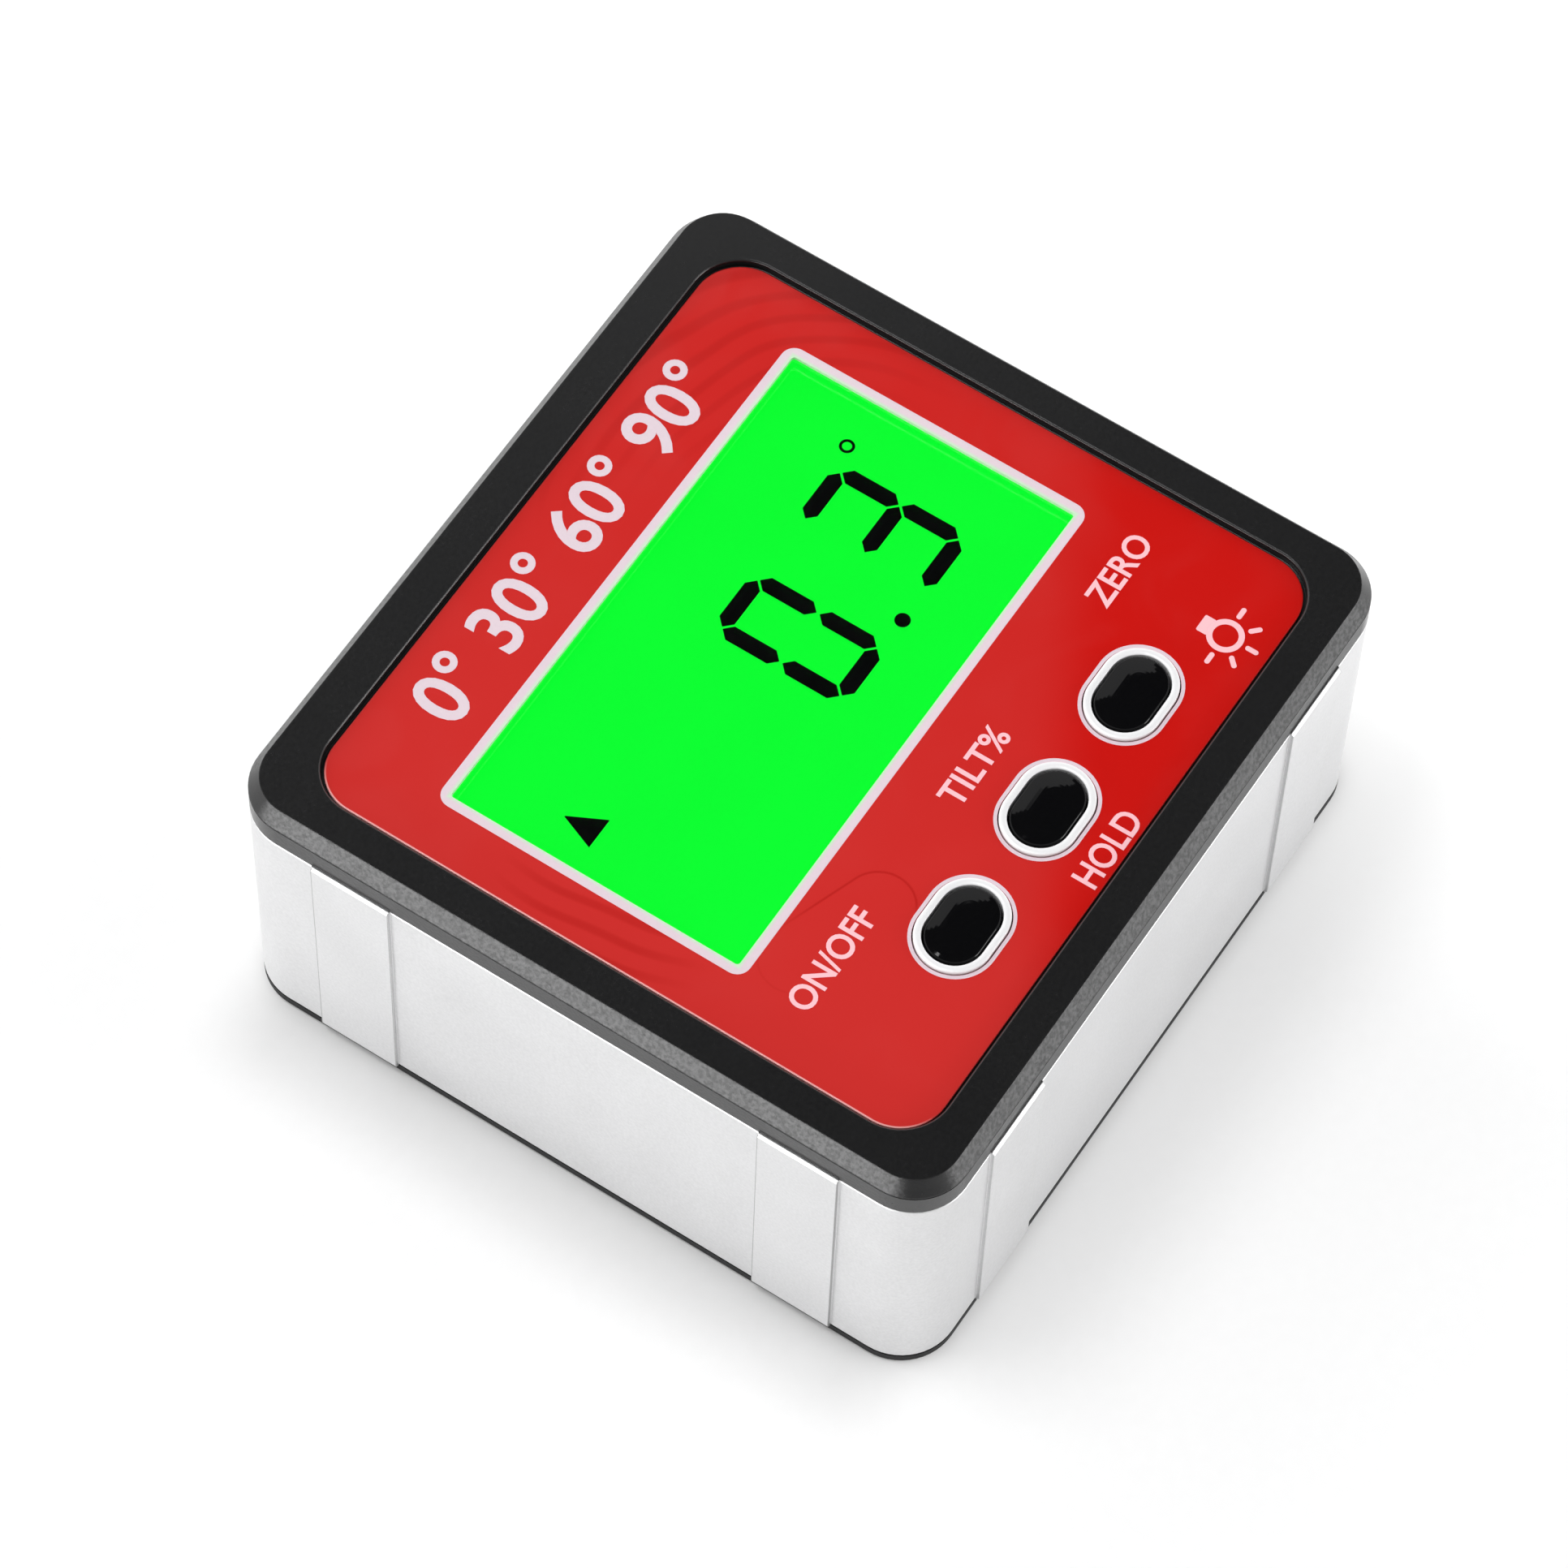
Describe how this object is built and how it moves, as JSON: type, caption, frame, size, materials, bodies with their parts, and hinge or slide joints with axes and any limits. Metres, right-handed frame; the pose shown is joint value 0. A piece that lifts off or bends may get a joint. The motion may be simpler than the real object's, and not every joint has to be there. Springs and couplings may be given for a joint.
{
  "type": "digital angle gauge",
  "caption": "Square aluminium-framed digital angle gauge lying on its back: red face, lit green display, oval push keys, sliding battery door and magnetic base.",
  "frame": {"origin": "middle of the rear face, on the surface that the gauge lies on", "axes": "+X along the display's text to the right, +Y up on the face, +Z out of the face"},
  "size_m": [0.06, 0.0578, 0.027],
  "materials": {
    "anodised_aluminium": "satin, fine grained",
    "bezel_plastic": "fine moulded texture",
    "back_plastic": "fine moulded texture",
    "red_face": "glossy printed sheet",
    "clear_pane": "clear and polished",
    "lit_display": "lit green, black segments",
    "white_plastic": "moulded",
    "light_panel": "frosted",
    "lamp": "moulded lens",
    "strip_rubber": "silicone, striped",
    "board_green": "lacquered laminate",
    "resin_black": "cured resin",
    "chip_black": "moulded package",
    "plated_steel": "nickel plated",
    "capacitor_tan": "fired ceramic",
    "switch_plastic": "moulded",
    "key_black": "polished",
    "bright_ring": "bright plated",
    "cell_jacket": "printed jacket on a steel can",
    "contact_metal": "plated spring steel",
    "magnet_nickel": "nickel plated",
    "screw_steel": "zinc plated"
  },
  "bodies": {
    "housing": {"frame": "anodised_aluminium", "front_cover": "bezel_plastic", "rear_cover": "back_plastic", "face_overlay": "red_face", "display_window": "clear_pane", "lcd_glass": "lit_display", "lcd_holder": "white_plastic", "backlight_panel": "light_panel", "backlight_led": "lamp", "zebra_strips": "strip_rubber", "main_board": "board_green", "controller_chip": "resin_black", "tilt_sensor": "chip_black", "crystal": "plated_steel", "capacitors": "capacitor_tan", "key_switches": "switch_plastic", "key_trims": "bright_ring", "cell_a": "cell_jacket", "cell_b": "cell_jacket", "contact_positive": "contact_metal", "contact_negative": "contact_metal", "contact_bridge": "contact_metal", "base_magnets": "magnet_nickel", "cover_screws": "screw_steel", "board_screws": "screw_steel"},
    "key_power_body": {"key_power": "key_black", "plunger_power": "switch_plastic"},
    "key_hold_body": {"key_hold": "key_black", "plunger_hold": "switch_plastic"},
    "key_zero_body": {"key_zero": "key_black", "plunger_zero": "switch_plastic"},
    "door_body": {"battery_door": "back_plastic"}
  },
  "joints": [
    {"name": "key_power_press", "type": "slide", "parent": "housing", "child": "key_power_body", "axis": [0, 0, -1], "range_m": [0, 0.0003], "stiffness_N_per_m": 3000},
    {"name": "key_hold_press", "type": "slide", "parent": "housing", "child": "key_hold_body", "axis": [0, 0, -1], "range_m": [0, 0.0003], "stiffness_N_per_m": 3000},
    {"name": "key_zero_press", "type": "slide", "parent": "housing", "child": "key_zero_body", "axis": [0, 0, -1], "range_m": [0, 0.0003], "stiffness_N_per_m": 3000},
    {"name": "door_slide", "type": "slide", "parent": "housing", "child": "door_body", "axis": [0, 1, 0], "range_m": [0, 0.005]}
  ]
}
